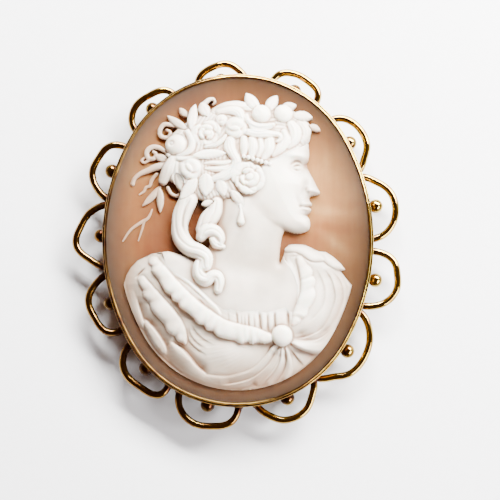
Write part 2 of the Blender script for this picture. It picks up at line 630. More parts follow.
# Leaves: base x, base y, tip x, tip y, half width, top
LEAVES = [
    (-7.9, 18.9, -9.1, 20.4, 0.6, 0.8), (6.7, 20.0, 9.1, 20.7, 0.8, 1.35), (11.0, 17.5, 12.8, 16.7, 0.6, 0.8),
    (-7.8, 16.7, -11.0, 19.1, 0.68, 1.3), (-4.7, 18.8, -5.7, 21.1, 0.95, 1.6),
    (-7.2, 16.5, -6.6, 20.8, 0.8, 1.75), (4.5, 19.4, 6.1, 22.2, 0.92, 1.65), (3.1, 19.8, 1.2, 22.5, 0.98, 1.75),
    (8.5, 18.9, 11.6, 18.7, 0.88, 1.5), (-10.7, 11.9, -12.9, 12.8, 0.68, 1.1),
    (-9.5, 9.7, -8.6, 6.7, 0.72, 1.3), (-11.9, 7.9, -14.8, 4.8, 0.52, 0.75),
    (-12.1, 7.6, -12.0, 3.7, 0.58, 0.8), (-3.0, 8.6, -2.1, 6.0, 0.95, 1.9), (-4.9, 9.5, -5.0, 6.0, 1.2, 2.05),
    (-6.4, 8.9, -8.9, 5.5, 0.95, 1.9), (-1.0, 6.8, 0.9, 4.3, 0.8, 1.7), (-5.5, 4.7, -3.6, 5.2, 0.52, 1.6),
    (-6.9, 12.2, -1.6, 12.7, 0.8, 2.15),
]

# Tendrils, stems and sprigs: rows of x, y, half width, top
TENDRILS = [
    [(-8.7, 17.3, 0.29, 1.1), (-10.0, 17.5, 0.33, 1.01), (-11.4, 17.7, 0.36, 0.93), (-12.1, 16.8, 0.34, 0.87),
     (-11.9, 15.8, 0.33, 0.83), (-10.8, 15.6, 0.31, 0.8), (-10.5, 16.4, 0.27, 0.8), (-11.0, 16.8, 0.23, 0.8)],
    [(-11.1, 13.2, 0.3, 0.9), (-12.2, 14.0, 0.36, 0.87), (-13.4, 14.1, 0.39, 0.84), (-14.1, 13.4, 0.37, 0.81),
     (-13.9, 12.4, 0.35, 0.8), (-13.0, 12.3, 0.31, 0.8), (-12.7, 13.0, 0.27, 0.8), (-13.1, 13.4, 0.21, 0.8)],
    [(-13.7, 12.1, 0.2, 0.7), (-14.5, 11.7, 0.2, 0.63), (-14.9, 12.1, 0.18, 0.57), (-14.5, 12.5, 0.15, 0.5)],
    [(-5.3, 20.8, 0.4, 1.2), (-4.6, 21.5, 0.34, 1.07), (-3.9, 21.7, 0.27, 0.95), (-3.6, 21.2, 0.21, 0.82),
     (-3.9, 20.8, 0.15, 0.7)],
    [(-11.0, 11.1, 0.64, 1.2), (-12.6, 10.9, 0.57, 1.02), (-14.0, 10.4, 0.46, 0.86), (-15.2, 9.9, 0.36, 0.74),
     (-16.0, 9.2, 0.31, 0.62), (-16.3, 8.4, 0.35, 0.5)],
    [(-12.6, 9.8, 0.24, 0.6), (-13.3, 8.9, 0.27, 0.52), (-13.6, 8.0, 0.22, 0.44), (-14.2, 7.8, 0.2, 0.38),
     (-14.5, 7.2, 0.2, 0.34), (-15.2, 6.7, 0.12, 0.3)],
    [(-10.8, 7.6, 0.27, 0.66), (-10.3, 6.7, 0.27, 0.62), (-9.4, 6.3, 0.26, 0.58), (-8.8, 6.9, 0.2, 0.56)],
    [(-13.2, 4.3, 0.11, 0.3), (-13.8, 3.0, 0.21, 0.36), (-14.8, 2.4, 0.24, 0.36), (-16.5, 1.2, 0.2, 0.32),
     (-17.7, -0.5, 0.11, 0.25)],
    [(-14.4, 2.5, 0.18, 0.3), (-14.8, 1.0, 0.15, 0.28), (-15.3, -0.5, 0.09, 0.2)],
    [(1.6, 17.6, 0.34, 1.9), (2.3, 16.7, 0.4, 2.0), (3.7, 16.5, 0.4, 2.0), (5.1, 17.0, 0.3, 1.9)],
]

# Berries and fruit: x, y, radius, top, navel
BERRIES = [
    (3.6, 19.0, 1.54, 2.35, 0.05), (7.0, 19.1, 1.54, 2.2, 0.0), (-9.5, 14.2, 1.75, 2.2, 0.22),
    (0.9, 12.2, 0.33, 2.35, 0.0), (1.6, 12.0, 0.33, 2.35, 0.0), (2.3, 11.8, 0.33, 2.35, 0.0),
    (3.0, 11.6, 0.33, 2.3, 0.0), (3.6, 11.4, 0.33, 2.3, 0.0), (4.3, 11.2, 0.33, 2.25, 0.0),
    (4.9, 11.0, 0.31, 2.2, 0.0),
]

# Open roses: x, y, radius, top, turn, petals
ROSES = [(-4.9, 15.9, 2.1, 2.2, 20, 6), (1.6, 8.9, 2.45, 2.42, 35, 6)]

# Half-open roses: x, y, radius, top, turn of the first petal
BUDS = [(-2.5, 18.0, 0.95, 2.1, 120), (-7.2, 10.4, 1.8, 2.28, 200), (-0.3, 16.8, 1.85, 2.38, 255)]

# Gathered rolls of the sleeve, the collar and the neckline: rows of x, y, half width, top
ROLLS = [
    [(-14.7, -6.7, 0.72, 1.2), (-13.7, -8.4, 1.06, 1.38), (-12.3, -10.3, 1.27, 1.5), (-11.0, -12.0, 1.4, 1.55),
     (-9.7, -13.7, 1.37, 1.52), (-8.7, -15.2, 0.96, 1.38), (-8.1, -16.3, 0.34, 1.15)],
    [(9.4, -3.6, 0.6, 1.3), (10.3, -5.4, 0.98, 1.52), (10.7, -7.2, 1.14, 1.6), (10.6, -9.0, 1.18, 1.64),
     (10.0, -10.8, 1.16, 1.64), (9.2, -12.3, 0.9, 1.6), (8.5, -13.5, 0.42, 1.5)],
    [(-12.9, -3.9, 0.86, 1.45), (-11.8, -5.6, 1.13, 1.7), (-10.6, -7.2, 1.23, 1.85), (-9.1, -8.9, 1.27, 1.92),
     (-7.7, -10.3, 1.3, 1.95), (-6.4, -11.5, 1.33, 1.95), (-4.5, -12.9, 1.37, 1.95), (-2.4, -14.2, 1.37, 1.95),
     (0.0, -15.0, 1.45, 1.95), (2.3, -15.3, 1.27, 1.95), (4.0, -15.6, 0.92, 1.9), (5.1, -15.6, 0.6, 1.8)],
]

# Scarf end on the far shoulder: rows of x, y, half width, top
SCARF = [
    (7.5, -2.1, 0.5, 1.05), (9.0, -2.0, 0.68, 1.2), (10.2, -2.3, 0.86, 1.35), (11.4, -3.0, 0.96, 1.4),
    (12.5, -3.1, 0.9, 1.35), (13.3, -3.2, 0.74, 1.3), (14.3, -3.8, 0.86, 1.3), (15.4, -4.5, 0.66, 1.15),
    (16.6, -4.8, 0.22, 0.85),
]

# Ridges of the drapery: rows of x, y, half width, top
FOLDS = [
    [(-16.5, -7.9, 0.62, 0.6), (-16.0, -10.1, 0.72, 0.72), (-15.2, -12.4, 0.65, 0.8),
     (-14.5, -14.0, 0.27, 0.8)],
    [(-14.5, -12.6, 0.34, 0.96), (-13.0, -14.6, 0.79, 1.02), (-11.8, -16.5, 0.86, 0.98),
     (-11.0, -17.8, 0.38, 0.9)],
    [(-10.5, -16.4, 0.38, 1.05), (-9.3, -17.7, 0.99, 1.12), (-7.9, -19.2, 1.06, 1.08),
     (-6.6, -20.7, 0.96, 0.98), (-4.9, -22.0, 0.86, 0.84), (-2.7, -23.0, 0.68, 0.66)],
    [(5.7, -16.9, 0.4, 1.55), (4.6, -18.8, 0.65, 1.4), (2.8, -20.7, 0.8, 1.22), (0.5, -21.7, 0.85, 1.1),
     (-2.2, -22.1, 0.8, 1.0), (-5.2, -21.6, 0.6, 0.9)],
    [(6.3, -17.2, 0.3, 1.5), (5.7, -19.0, 0.5, 1.3), (4.4, -20.9, 0.6, 1.08), (2.4, -22.5, 0.6, 0.85)],
    [(6.8, -17.2, 0.3, 1.5), (6.8, -19.0, 0.45, 1.28), (6.0, -21.0, 0.55, 1.0), (4.4, -22.8, 0.45, 0.75)],
    [(7.3, -17.2, 0.26, 1.45), (7.9, -19.0, 0.4, 1.22), (7.7, -20.8, 0.45, 0.95), (6.9, -22.2, 0.4, 0.75)],
    [(8.4, -16.3, 0.36, 1.55), (10.2, -16.9, 0.58, 1.45), (12.4, -17.0, 0.68, 1.22), (14.0, -16.0, 0.68, 1.05),
     (15.4, -14.2, 0.55, 0.95)],
    [(-10.0, -5.6, 0.34, 1.35), (-8.2, -6.9, 0.46, 1.48), (-6.7, -8.2, 0.5, 1.55), (-4.8, -10.0, 0.5, 1.58),
     (-3.4, -11.3, 0.5, 1.56), (-2.5, -12.5, 0.27, 1.5)],
]

# Where one layer of cloth lies over another: step, reach, then places with the lower side on the right
LAPS = [
    (0.17, 0.9, [(12.0, -5.0), (12.8, -6.5), (13.3, -8.2), (13.2, -9.9), (12.7, -11.2), (11.8, -12.4),
     (10.8, -13.4)]),
    (0.28, 1.2, [(13.2, -5.0), (14.2, -6.3), (14.7, -7.8), (14.9, -9.3), (14.5, -11.0), (13.7, -12.9),
     (12.5, -14.4), (10.8, -15.3), (8.7, -15.8)]),
    (0.23, 0.9, [(14.5, -5.3), (15.6, -6.6), (16.1, -8.1), (16.1, -9.7), (15.5, -11.4), (14.7, -12.9),
     (13.7, -14.2), (12.1, -15.4)]),
    (0.17, 0.7, [(15.4, -5.3), (16.6, -7.1), (16.8, -8.8), (16.2, -10.7)]),
    (0.15, 0.7, [(10.8, -14.5), (9.6, -15.0), (8.2, -15.2)]),
    (0.32, 0.9, [(14.5, -13.6), (13.5, -14.9), (12.1, -15.8), (10.4, -16.0), (8.2, -15.7)]),
    (0.35, 1.0, [(6.0, -17.0), (5.2, -18.8), (3.9, -20.4), (2.1, -21.7), (-0.2, -22.4), (-2.6, -22.7)]),
    (0.38, 1.0, [(6.5, -17.0), (6.2, -18.8), (5.2, -20.6), (3.4, -22.4), (1.6, -23.7)]),
    (0.35, 0.9, [(7.1, -17.0), (7.4, -18.8), (7.0, -20.6), (6.0, -22.1), (4.9, -23.2)]),
    (0.32, 0.8, [(7.5, -17.0), (8.3, -18.8), (8.2, -20.4), (7.8, -21.6)]),
    (0.3, 0.8, [(7.8, -16.9), (9.1, -18.6), (10.4, -20.0)]),
    (0.35, 0.8, [(8.3, -16.8), (10.1, -17.5), (12.4, -18.3)]),
    (0.32, 0.8, [(-14.3, -14.2), (-14.5, -12.8), (-15.0, -11.2), (-15.6, -9.2)]),
    (0.41, 0.9, [(-10.9, -18.0), (-11.1, -16.8), (-11.9, -15.4), (-13.2, -13.7), (-14.4, -12.5)]),
    (0.46, 1.0, [(-4.6, -21.2), (-6.3, -19.8), (-7.6, -18.2), (-8.9, -16.9), (-10.3, -16.1)]),
    (0.16, 0.6, [(-7.4, -13.6), (-7.2, -15.0), (-6.2, -16.3), (-4.7, -17.3)]),
    (0.19, 0.6, [(-7.8, -14.1), (-7.5, -15.8), (-6.4, -17.1), (-4.7, -18.2)]),
    (0.14, 0.6, [(-7.1, -13.3), (-6.4, -14.6), (-5.2, -15.8), (-3.5, -16.7)]),
]

# Lines cut in the drapery: depth, half width, then places
LINES = [
    (0.45, 0.14, [(-15.8, -6.4), (-15.0, -5.6), (-14.1, -4.8)]),
    (0.14, 0.12, [(-9.6, -6.2), (-7.9, -7.4), (-6.2, -8.9), (-4.6, -10.4)]),
    (0.2, 0.12, [(-6.1, -9.6), (-5.6, -10.2), (-5.0, -10.7)]),
    (0.2, 0.2, [(12.0, -2.5), (12.8, -2.9), (13.5, -3.8)]),
    (0.14, 0.16, [(7.7, -3.2), (8.6, -3.1), (9.7, -3.0)]),
    (0.1, 0.06, [(0.2, -17.0), (0.9, -17.15), (1.6, -17.2)]),
]

# Pleats of the shift over the neckline: x and y at the top, x and y at the foot, depth, half width
PLEATS = [
    (-1.5, -11.9, -1.3, -12.9, 0.1, 0.1), (-0.2, -11.9, 0.0, -13.4, 0.22, 0.13),
    (0.5, -12.5, 0.6, -13.5, 0.14, 0.1), (1.0, -12.6, 1.1, -13.8, 0.16, 0.11),
    (1.6, -12.3, 1.7, -13.9, 0.24, 0.13), (2.4, -12.6, 2.6, -13.8, 0.16, 0.11),
    (3.3, -11.9, 3.5, -14.1, 0.34, 0.22), (4.5, -12.1, 4.6, -14.3, 0.26, 0.16),
    (5.6, -11.9, 5.7, -14.2, 0.3, 0.17), (7.6, -11.4, 7.7, -13.3, 0.34, 0.2),
]

# Fine lines of the face: depth (negative is a ridge), half width, then places down and out
FACE_LINES = [
    (-0.16, 0.34, [(0.33, -0.01), (0.303, -0.05), (0.304, -0.1), (0.33, -0.15)]),
    (0.32, 0.15, [(0.376, -0.036), (0.352, -0.07), (0.36, -0.108), (0.392, -0.142)]),
    (-0.22, 0.2, [(0.394, -0.036), (0.374, -0.068), (0.382, -0.102), (0.41, -0.132)]),
    (0.46, 0.14, [(0.404, -0.038), (0.389, -0.068), (0.396, -0.098), (0.415, -0.124)]),
    (0.32, 0.12, [(0.432, -0.046), (0.438, -0.076), (0.43, -0.104), (0.417, -0.124)]),
    (-0.12, 0.2, [(0.446, -0.048), (0.452, -0.08), (0.442, -0.112), (0.424, -0.136)]),
    (0.16, 0.16, [(0.585, 0.024), (0.598, 0.002), (0.628, -0.003), (0.654, 0.012)]),
    (0.26, 0.14, [(0.644, 0.078), (0.636, 0.055), (0.642, 0.036), (0.656, 0.028)]),
    (0.3, 0.13, [(0.766, 0.046), (0.763, 0.02), (0.768, -0.012), (0.765, -0.056)]),
]

# The part of the grid round the face: lowest and highest x, lowest and highest y
FACE_SPAN = (-4, 14, -1, 20)

# Hills and hollows of the face: height, place down and out, half widths in shares too, turn
FACE_HILLS = [
    # Forehead, brow ridge and eye socket
    (0.12, 0.16, -0.1, 0.14, 0.16), (0.2, 0.305, -0.075, 0.11, 0.03, -6), (-0.74, 0.4, -0.06, 0.085, 0.062),
    (-0.18, 0.375, 0.0, 0.028, 0.045), (0.62, 0.412, -0.07, 0.042, 0.03),
    # Cheek, temple and jaw
    (0.34, 0.6, -0.22, 0.17, 0.17), (-0.12, 0.3, -0.27, 0.07, 0.08), (0.16, 0.86, -0.2, 0.2, 0.09, 32),
    # Side of the nose, its wing and its tip
    (-0.34, 0.56, -0.005, 0.03, 0.09, -20), (0.16, 0.5, 0.035, 0.026, 0.1, -24),
    (0.46, 0.622, 0.04, 0.03, 0.026), (0.15, 0.622, 0.1, 0.024, 0.024),
    # Lips and the corner of the mouth
    (0.3, 0.742, 0.005, 0.042, 0.015, 8), (0.3, 0.788, 0.006, 0.036, 0.0155, -4),
    (-0.22, 0.765, -0.054, 0.014, 0.016), (-0.08, 0.7, 0.006, 0.012, 0.024),
    # Hollow under the lower lip, chin and the fold beside the mouth
    (-0.24, 0.838, 0.0, 0.045, 0.014), (0.28, 0.915, -0.01, 0.065, 0.055),
    (-0.1, 0.72, -0.075, 0.022, 0.06, 18),
]

# Hills and hollows of neck and chest: height, x, y, half widths, turn
NECK_HILLS = [
    (0.42, 1.8, 2.0, 3.2, 5.5, 8), (0.22, -0.3, 2.0, 0.9, 5.0, -24), (-0.12, 3.6, -5.0, 2.4, 2.0),
    (0.14, -2.2, -6.0, 5.0, 1.6, -12), (0.34, 1.2, -8.6, 4.6, 3.0, 6), (0.3, -9.5, -6.0, 4.5, 3.2, -30),
]

# Belly of the shift, the shoulder, the sleeve and the far side: height, x, y, half widths, turn
DRESS_HILLS = [
    (0.46, -1.2, -18.2, 5.2, 2.4, -8), (0.48, 3.2, -13.0, 7.0, 2.2), (0.4, -7.4, -8.4, 6.0, 2.0, -42),
    (0.22, -13.0, -8.5, 2.6, 5.0, 28), (0.34, 12.4, -10.0, 3.6, 5.6, -8),
]

# Each of the rolls: which side is its outer edge, width of a puff, rise, depth of the line round it
ROLL_LOOKS = [(1, 2.7, 0.5, 0.09), (-1, 2.3, 0.34, 0.05), (1, 2.3, 0.5, 0.09)]
BUTTON_X, BUTTON_Y = 6.7, -15.3

# Lock at the nape, then hook and drop of the ear drop: rows of x, y, half width, top
NAPE_LOCK = [(-10.1, 11.8, 0.8, 1.85), (-10.7, 10.4, 1.01, 1.9), (-11.5, 8.7, 0.74, 1.5)]
EAR_HOOK = [(0.3, 4.6, 0.2, 1.8), (0.45, 3.9, 0.18, 1.85)]
EAR_DROP = [(0.45, 3.9, 0.22, 1.9), (0.48, 3.0, 0.4, 2.1), (0.45, 2.0, 0.62, 2.2)]

# Where the white layer is thinner or thicker: amount, x, y, half widths, turn
THIN_PLACES = [
    (-0.16, 1.5, -0.5, 4.0, 6.0, 10), (-0.18, -2.0, -22.5, 11.0, 4.5), (-0.1, -13.5, -12.0, 3.0, 6.0, 30),
    (0.12, 12.0, -9.0, 4.0, 5.0), (-0.06, -15.0, 5.0, 4.6, 9.5), (-0.1, 12.4, 17.0, 1.6, 1.6),
]


def face_place(down, forward):
    """Place on the carving from shares of the face's height."""
    return BROW_X + FACE_H * forward, BROW_Y - FACE_H * down


def carve_skin():
    """Face, neck and chest, left smooth by the carver."""
    skin = Carving()
    where = window(*FACE_SPAN)
    x, y = GX[where], GY[where]
    out = polygon_distance(x, y, smooth_rows([face_place(*row) for row in FACE_ROWS], 5))
    face = swelling(out, 0.40, 0.55, 0.9, 1.05)
    add_bells(face, x, y, [
        (height, *face_place(down, forward), wide * FACE_H, tall * FACE_H, *turn)
        for height, down, forward, wide, tall, *turn in FACE_HILLS])
    skin.high[where] = np.where(out < 0.3, face, -FAR)
    skin.out[where] = out
    for depth, narrow, line in FACE_LINES:
        skin.crease([face_place(*row) for row in line], depth, narrow)

    neck_out = np.maximum(polygon_distance(GX, GY, BUST_EDGE), oval_distance(GX, GY, BUST_IN))
    neck = swelling(neck_out, 0.30, 0.62, 1.5, 0.30)
    add_bells(neck, GX, GY, NECK_HILLS)
    both = (skin.out < 0) & (neck_out < 0)
    apart = np.where(neck_out < 0.3, np.maximum(skin.high, neck), skin.high)
    skin.high = np.where(both, soft_max(skin.high, neck, 0.30), apart)
    skin.out = np.minimum(skin.out, neck_out)
    return skin


def carve_dress():
    """Drapery: thin at its lower edge, with gathered rolls, pleats and folds that meet at a button."""
    dress = Carving()
    oval_out = oval_distance(GX, GY, BUST_IN)
    border = np.maximum(polygon_distance(GX, GY, BUST_EDGE), oval_out)
    deep = np.clip(-border, 0, 9)
    base = 0.10 + 0.40 * from_edge(deep, 2.2) ** 0.75 + 0.50 * (1 - np.exp(np.minimum(oval_out, 0) / 3.2))
    add_bells(base, GX, GY, DRESS_HILLS)
    dress.base(polygon_distance(GX, GY, DRESS_EDGE), base)
    for n, rows in enumerate(FOLDS):
        dress.fold(rows, lean=0.45 if n % 2 else -0.35)
    # Fine strokes of the graver, which run towards the button
    turn, reach = np.arctan2(GY - BUTTON_Y, GX - BUTTON_X), np.hypot(GX - BUTTON_X, GY - BUTTON_Y)
    strokes = np.sin(97 * turn + 2.2 * np.sin(0.61 * reach))
    strokes += 0.8 * np.sin(163 * turn + 3.1 * np.sin(0.37 * reach + 1))
    dress.high += 0.011 * strokes * (0.55 + 0.45 * np.sin(0.9 * reach + 7 * turn)) * unit(reach / 6 - 0.3)
    for row in LAPS:
        dress.lap(*row)
    for top_x, top_y, foot_x, foot_y, depth, narrow in PLEATS:
        middle = ((top_x + foot_x) / 2, (top_y + foot_y) / 2)
        points = [(top_x, top_y + 0.6), (top_x, top_y), middle, (foot_x, foot_y - 0.8)]
        dress.lap(0.6 * depth, 0.45, points)
        dress.crease(points, depth, narrow)
    dress.strand(SCARF, rise=0.42, cut=0.12)
    for rows, looks in zip(ROLLS, ROLL_LOOKS):
        dress.ruffle(rows, *looks)
    for depth, narrow, line in LINES:
        dress.crease(line, depth, narrow)
    dress.stud(BUTTON_X, BUTTON_Y, 1.62, 2.35, rise=0.85, cut=0.20)
    # Thinned towards its edge; nothing of it reaches past the bust's outline
    dress.high *= 0.35 + 0.65 * unit(deep / 2.4) ** 0.7
    dress.out = np.maximum(dress.out, border)
    return dress


def carve_hair():
    """Waved hair over the brow, locks swept back and the ringlets on the shoulder."""
    hair = Carving()
    out = polygon_distance(GX, GY, smooth_rows(HAIR_EDGE + HAIR_EDGE[:1], 4)[:-1])
    fine = np.cos(2 * math.pi * (np.hypot(GX - 5.5, GY - 10.5) / 0.62 + 0.5 * np.sin(GX * 0.7)))
    hair.base(out, swelling(out, 0.75, 0.55, 1.2, 0.45) + 0.05 * fine * (out < -0.15))
    for rows in RINGLETS:
        hair.ringlet(rows)
    hair.crease(RINGLET_PARTING, 0.24, 0.17)
    for n, rows in enumerate(LOCKS):
        hair.strand(rows, rise=0.55, grooves=2 + n % 2, depth=0.08)
    return hair


def carve_flowers():
    """Wreath of roses, leaves, berries and tendrils, and the ear drop."""
    wreath = Carving()
    for rows in TENDRILS:
        wreath.strand(rows, rise=0.5 * rows[0][2] + 0.1, cut=0.12)
    for row in LEAVES:
        wreath.leaf(*row)
    wreath.strand(NAPE_LOCK, rise=0.7, grooves=2, cut=0.2)
    wreath.strand(EAR_HOOK, rise=0.2)
    wreath.strand(EAR_DROP, rise=0.6)
    for row in BUDS:
        wreath.bud(*row)
    for row in ROSES:
        wreath.rose(*row)
    for *form, navel in BERRIES:
        wreath.stud(*form, navel=navel)
    # The tips at the left are carved down to a thin film
    wreath.high *= 1 - 0.42 * unit((-8.6 - GX) / 5.0)
    return wreath


def relief_piece(name, out, high, thin, hollow, material):
    """One carved piece: a grid raised to the carving, with walls and a back that follows the shell."""
    # Points beside the outline move onto it
    margin = 0.72 * CELL
    slope_y, slope_x = np.gradient(out, CELL)
    steep = np.maximum(slope_x ** 2 + slope_y ** 2, 0.25)
    edge = np.abs(out) < margin
    place_x, place_y = (
        grid + np.where(edge, np.clip(-out * slope / steep, -margin, margin), 0)
        for grid, slope in ((GX, slope_x), (GY, slope_y)))
    keep, inner = out < margin, out < -margin
    corner_in = inner[:-1, :-1] | inner[1:, :-1] | inner[:-1, 1:] | inner[1:, 1:]
    cell = corner_in & keep[:-1, :-1] & keep[1:, :-1] & keep[:-1, 1:] & keep[1:, 1:]

    # A flat sheet of cells, with one unit to a cell
    bm = bmesh.new()
    rows, columns = np.where(keep)
    j0, j1, i0, i1 = rows.min(), rows.max(), columns.min(), columns.max()
    wide, tall = int(i1 - i0), int(j1 - j0)
    middle = Matrix.Translation(((i0 + i1) / 2, (j0 + j1) / 2, 0))
    stretch = Matrix.Diagonal((wide / 2, tall / 2, 1, 1))
    bmesh.ops.create_grid(bm, x_segments=wide, y_segments=tall, size=1.0, matrix=middle @ stretch)
    places = [(face, face.calc_center_median()) for face in bm.faces]
    lost = [face for face, place in places if not cell[int(place.y), int(place.x)]]
    bmesh.ops.delete(bm, geom=lost, context="FACES")
    # Cells that touch only at a corner would leave a pinched edge
    pinched = [vert for vert in bm.verts if sum(edge.is_boundary for edge in vert.link_edges) > 2]
    bmesh.ops.delete(bm, geom=list({face for vert in pinched for face in vert.link_faces}), context="FACES")

    # The front is one unit over the back, whose inner cells are made coarser
    bottom = list(bm.verts)
    made = bmesh.ops.extrude_face_region(bm, geom=bm.faces[:], use_keep_orig=True)["geom"]
    top = [item for item in made if isinstance(item, bmesh.types.BMVert)]
    bmesh.ops.translate(bm, verts=top, vec=(0, 0, 1))
    bottom_inner = [vert for vert in bottom if not any(edge.is_boundary for edge in vert.link_edges)
                    and all(abs(face.normal.z) > 0.5 for face in vert.link_faces)]
    bmesh.ops.unsubdivide(bm, verts=bottom_inner, iterations=2)
    bmesh.ops.recalc_face_normals(bm, faces=bm.faces)
    for face in bm.faces:
        if abs(face.normal.z) < 0.5:
            for edge in face.edges:
                if min(vert.co.z for vert in edge.verts) > 0.5:
                    edge.smooth = False
    mesh = new_mesh(name, bm)

    # Every point goes to its place: the front to the carving, the back a little way into the shell
    co = np.array([tuple(vert.co) for vert in mesh.vertices])
    i, j, _ = np.rint(co).astype(int).T
    front = co[:, 2] > 0.5
    x, y = place_x[j, i], place_y[j, i]
    ground = dome_z(x, y)
    z = np.where(front, np.minimum(ground + np.maximum(high[j, i], LEAST), bust_high), ground - SUNK)
    mesh.vertices.foreach_set("co", (np.stack([x + CENTRE.x, y + CENTRE.y, z], 1) * MM).ravel())
    add_attribute(mesh, "thickness", thin[j, i] * np.where(front, 1, 0.3))
    add_attribute(mesh, "hollow", hollow[j, i])
    mesh.update()
    piece = add_piece(name, mesh, material)
    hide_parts("bust_relief")


# ---- materials

def add_node(tree, kind, settings=None, links=None):
    """Adds a node: settings are its properties or its input values, links are from other nodes' outputs."""
    node = tree.nodes.new(kind)
    for key, value in (settings or {}).items():
        if isinstance(key, str) and hasattr(node, key) and key not in node.inputs:
            setattr(node, key, value)
        else:
            node.inputs[key].default_value = value
    for key, (source, output) in (links or {}).items():
        tree.links.new(source.outputs[output], node.inputs[key])
    return node


def new_material(name):
    """An empty material, its nodes and its output."""
    material = bpy.data.materials.new(name)
    material.use_nodes = True
    tree = material.node_tree
    tree.nodes.clear()
    output = add_node(tree, "ShaderNodeOutputMaterial")
    return material, tree, output


def fill_ramp(ramp, stops):
    """Colours of a ramp. Stops: place, hex colour."""
    elements = ramp.color_ramp.elements
    while len(elements) > 1:
        elements.remove(elements[-1])
    elements[0].position, elements[0].color = stops[0][0], (*linear(stops[0][1]), 1)
    for place, colour in stops[1:]:
        elements.new(place).color = (*linear(colour), 1)


# Shell is mostly aragonite, whose index starts there
SHELL_IOR = 1.53


def white_shell():
    """Carved conch shell, satin from the graver: warm white, pinkish where it is thin."""
    material, tree, output = new_material("shell_white_carved")
    place = add_node(tree, "ShaderNodeTexCoord")
    thin = add_node(tree, "ShaderNodeAttribute", {"attribute_name": "thickness"})
    hollow = add_node(tree, "ShaderNodeAttribute", {"attribute_name": "hollow"})
    # Clouds in the layer about 5 mm wide, and the graver's marks 0.3 mm, drawn coarser so that they show
    cloud = add_node(tree, "ShaderNodeTexNoise", {"Scale": 210.0, "Detail": 3.0}, {"Vector": (place, "Object")})
    spread = add_node(tree, "ShaderNodeMapRange", {1: 0.3, 2: 0.7, 3: -0.10, 4: 0.10}, {0: (cloud, 0)})
    depth = add_node(tree, "ShaderNodeMath", {"operation": "ADD"}, {0: (thin, "Fac"), 1: (spread, 0)})
    layer = add_node(tree, "ShaderNodeValToRGB", None, {0: (depth, 0)})
    fill_ramp(layer, [
        (0.05, "#a2836a"), (0.28, "#b39f8b"), (0.50, "#c6b9a8"), (0.66, "#ddd1c1"), (0.80, "#f4e8d8"),
        (1.0, "#fff6e5")])
    soil = add_node(tree, "ShaderNodeMapRange", {1: 0.005, 2: 0.17, 3: 0.0, 4: 0.86}, {0: (hollow, "Fac")})
    tint = add_node(tree, "ShaderNodeMix", {
        "data_type": "RGBA", "blend_type": "MULTIPLY", 7: (*linear("#b39986"), 1),
    }, {0: (soil, 0), 6: (layer, 0)})
    marks = add_node(tree, "ShaderNodeTexNoise", {
        "Scale": 3200.0, "Detail": 2.0}, {"Vector": (place, "Object")})
    bump = add_node(tree, "ShaderNodeBump", {"Strength": 0.10, "Distance": 0.00003}, {"Height": (marks, 0)})
    rough = add_node(tree, "ShaderNodeMapRange", {1: 0.3, 2: 0.7, 3: 0.36, 4: 0.52}, {0: (cloud, 0)})
    shader = add_node(tree, "ShaderNodeBsdfPrincipled", {
        "IOR": SHELL_IOR, "Subsurface Weight": 0.45,
        "Subsurface Radius": (1.0, 0.62, 0.45), "Subsurface Scale": 0.0009,
    }, {"Base Color": (tint, 2), "Roughness": (rough, 0), "Normal": (bump, 0)})
    tree.links.new(shader.outputs[0], output.inputs[0])
    return material


